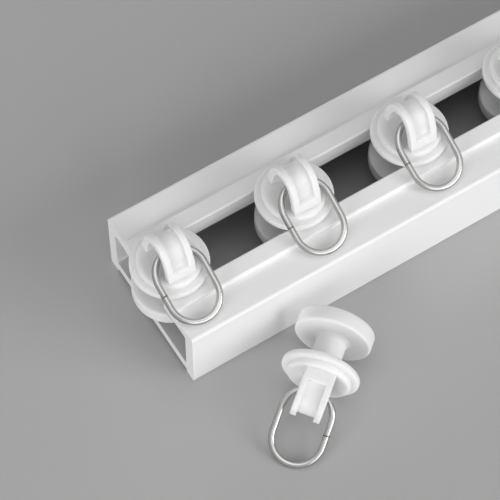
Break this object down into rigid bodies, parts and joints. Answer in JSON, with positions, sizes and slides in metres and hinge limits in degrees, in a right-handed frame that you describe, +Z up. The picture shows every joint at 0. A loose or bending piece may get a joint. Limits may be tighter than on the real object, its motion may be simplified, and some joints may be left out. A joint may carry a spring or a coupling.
{
  "type": "curtain track",
  "caption": "Straight white curtain track lying slot upwards: an extruded channel with disc gliders running in its slot, each with a ribbed eye and an oval wire ring for a curtain hook.",
  "frame": {"origin": "middle of the track's open end, level with the underside of its feet", "axes": "+X along the track into its length, +Y across the track away from the loose glider, +Z up through the slot"},
  "size_m": [0.1024, 0.045, 0.0223],
  "materials": {
    "track": "white extruded rigid plastic, satin",
    "glider": "white moulded plastic",
    "wire": "bright drawn steel wire"
  },
  "bodies": {
    "track": {"track": "track", "loose_glider": "glider"},
    "glider_1": {"glider_1": "glider"},
    "ring_1": {"ring_1": "wire"},
    "glider_2": {"glider_2": "glider"},
    "ring_2": {"ring_2": "wire"},
    "glider_3": {"glider_3": "glider"},
    "ring_3": {"ring_3": "wire"},
    "glider_4": {"glider_4": "glider"},
    "ring_4": {"ring_4": "wire"},
    "loose_ring": {"loose_ring": "wire"}
  },
  "joints": [
    {"name": "glider_1_slide", "type": "slide", "parent": "track", "child": "glider_1", "axis": [1, 0, 0], "range_m": [-0.0012, 0.0046]},
    {"name": "ring_1_swing", "type": "hinge", "parent": "glider_1", "child": "ring_1", "pos_m": [0.0035, -0.00025, 0.01815], "axis": [-1, 0, 0], "range_deg": [0, 220]},
    {"name": "glider_2_slide", "type": "slide", "parent": "track", "child": "glider_2", "axis": [1, 0, 0], "range_m": [-0.0046, 0.0041]},
    {"name": "ring_2_swing", "type": "hinge", "parent": "glider_2", "child": "ring_2", "pos_m": [0.02495, -0.00025, 0.01815], "axis": [-1, 0, 0], "range_deg": [0, 220]},
    {"name": "glider_3_slide", "type": "slide", "parent": "track", "child": "glider_3", "axis": [1, 0, 0], "range_m": [-0.0041, 0.0041]},
    {"name": "ring_3_swing", "type": "hinge", "parent": "glider_3", "child": "ring_3", "pos_m": [0.04545, -0.00025, 0.01815], "axis": [-1, 0, 0], "range_deg": [0, 220]},
    {"name": "glider_4_slide", "type": "slide", "parent": "track", "child": "glider_4", "axis": [1, 0, 0], "range_m": [-0.0041, 0.028]},
    {"name": "ring_4_swing", "type": "hinge", "parent": "glider_4", "child": "ring_4", "pos_m": [0.06595, -0.00025, 0.01815], "axis": [-1, 0, 0], "range_deg": [0, 220]},
    {"name": "loose_ring_swing", "type": "hinge", "parent": "track", "child": "loose_ring", "pos_m": [0.01264, -0.025, 0.00519], "axis": [-0.5878, 0.809, -0.0007], "range_deg": [0, 116]}
  ]
}
